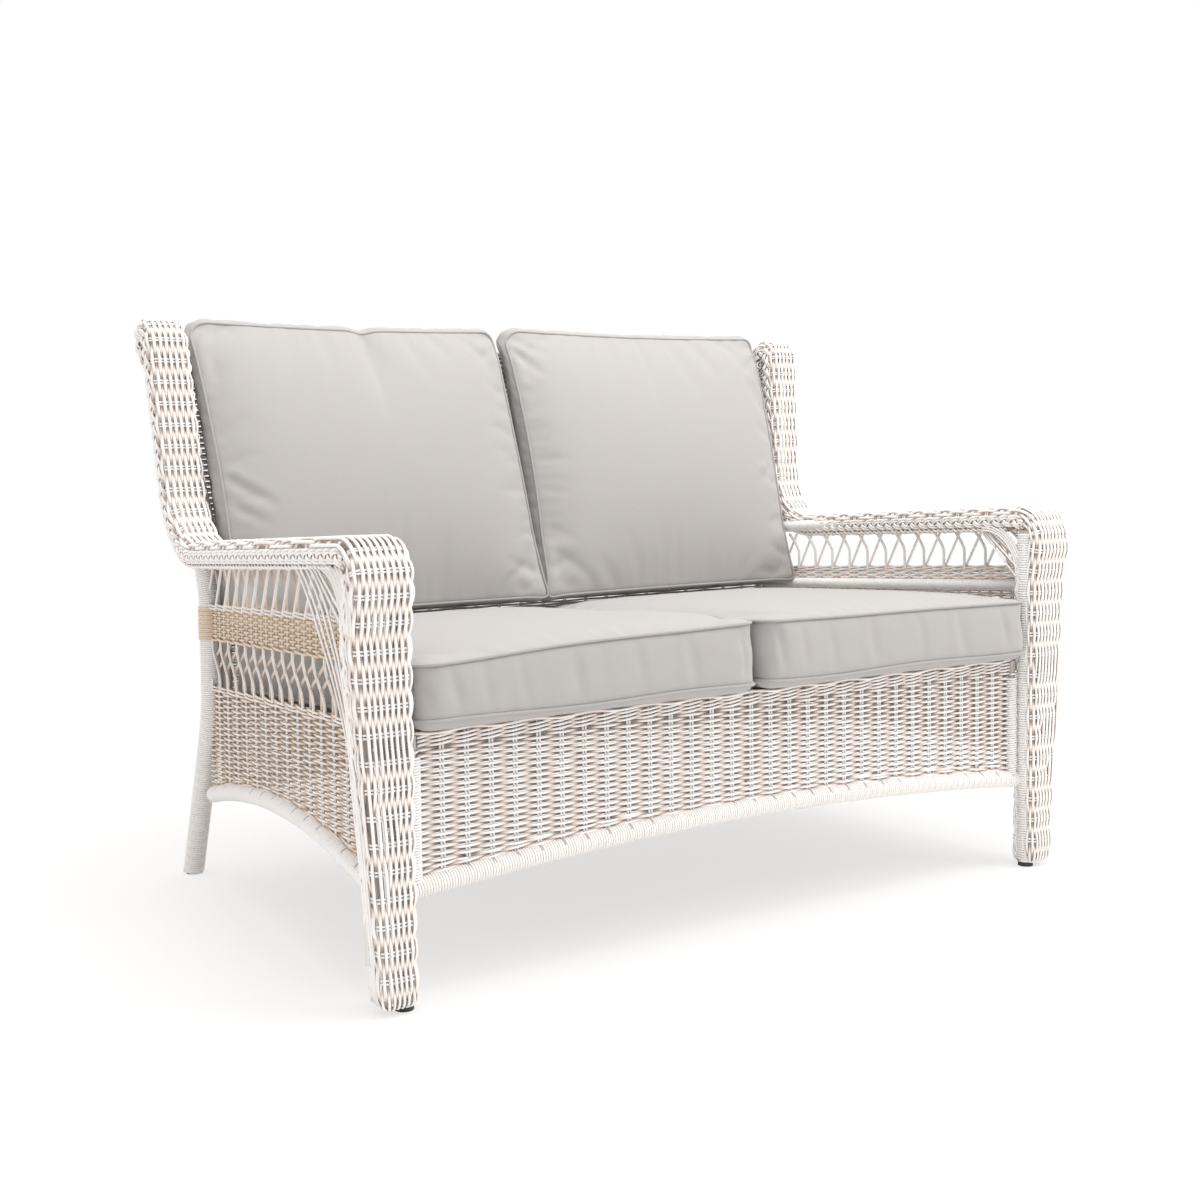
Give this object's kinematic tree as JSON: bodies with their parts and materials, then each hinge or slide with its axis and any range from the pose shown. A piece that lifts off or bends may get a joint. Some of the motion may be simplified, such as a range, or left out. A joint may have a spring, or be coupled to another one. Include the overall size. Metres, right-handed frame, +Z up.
{
  "type": "patio loveseat",
  "caption": "Woven resin wicker wing-back loveseat with scrolled wings, rolled arms, open-work sides and loose boxed seat and pillow back cushions.",
  "frame": {"origin": "on the floor, in the middle of the overall width and depth", "axes": "+X along the width to the sitter's left, the front faces -Y, +Z up"},
  "size_m": [1.4264, 0.905, 0.9845],
  "materials": {
    "woven_resin": "white round resin strand",
    "wrapped_resin": "white resin wrap over aluminium tube",
    "frame_tube": "white powder-coated tube",
    "cushion_cloth": "warm grey-beige outdoor cloth, piped seams",
    "foam": "open-cell foam block in wadding",
    "zinc_steel": "zinc-plated",
    "glide_plastic": "black moulded glide"
  },
  "bodies": {
    "frame": {"left_front_stile": "frame_tube", "right_front_stile": "frame_tube", "left_arm_rail": "frame_tube", "right_arm_rail": "frame_tube", "left_stretcher": "frame_tube", "right_stretcher": "frame_tube", "left_side_rail": "wrapped_resin", "right_side_rail": "wrapped_resin", "left_lower_panel": "woven_resin", "right_lower_panel": "woven_resin", "left_middle_band": "woven_resin", "right_middle_band": "woven_resin", "left_upper_lattice": "woven_resin", "right_upper_lattice": "woven_resin", "left_lower_lattice": "woven_resin", "right_lower_lattice": "woven_resin", "left_front_post": "wrapped_resin", "right_front_post": "wrapped_resin", "left_rear_post": "wrapped_resin", "right_rear_post": "wrapped_resin", "left_back_upright": "frame_tube", "right_back_upright": "frame_tube", "left_leg_band": "woven_resin", "right_leg_band": "woven_resin", "left_arm_band": "woven_resin", "right_arm_band": "woven_resin", "left_wing_band": "woven_resin", "right_wing_band": "woven_resin", "left_wing_web": "woven_resin", "right_wing_web": "woven_resin", "left_skirt_post": "wrapped_resin", "right_skirt_post": "wrapped_resin", "seat_left_rail": "frame_tube", "seat_right_rail": "frame_tube", "seat_brace_1": "frame_tube", "seat_brace_2": "frame_tube", "seat_brace_3": "frame_tube", "seat_rear_rail": "frame_tube", "seat_front_rail": "frame_tube", "seat_deck": "woven_resin", "back_panel": "woven_resin", "back_rail": "wrapped_resin", "back_tube": "frame_tube", "back_roll": "woven_resin", "skirt_rail": "wrapped_resin", "skirt_panel": "woven_resin", "assembly_bolts": "zinc_steel", "insert_nuts": "zinc_steel", "foot_glides": "glide_plastic", "seat_brackets": "frame_tube"},
    "left_seat": {"left_seat_cushion": "cushion_cloth", "left_seat_core": "foam"},
    "right_seat": {"right_seat_cushion": "cushion_cloth", "right_seat_core": "foam"},
    "left_back": {"left_back_cushion": "cushion_cloth", "left_back_core": "foam"},
    "right_back": {"right_back_cushion": "cushion_cloth", "right_back_core": "foam"}
  },
  "joints": [
    {"name": "left_seat_slide", "type": "slide", "parent": "frame", "child": "left_seat", "axis": [0, -0.9983, 0.0576], "range_m": [0, 0.76]},
    {"name": "right_seat_slide", "type": "slide", "parent": "frame", "child": "right_seat", "axis": [0, -0.9983, 0.0576], "range_m": [0, 0.76]},
    {"name": "left_back_lift", "type": "slide", "parent": "frame", "child": "left_back", "axis": [0, -0.0499, 0.9988], "range_m": [0, 0.56]},
    {"name": "right_back_lift", "type": "slide", "parent": "frame", "child": "right_back", "axis": [0, -0.0499, 0.9988], "range_m": [0, 0.56]}
  ]
}
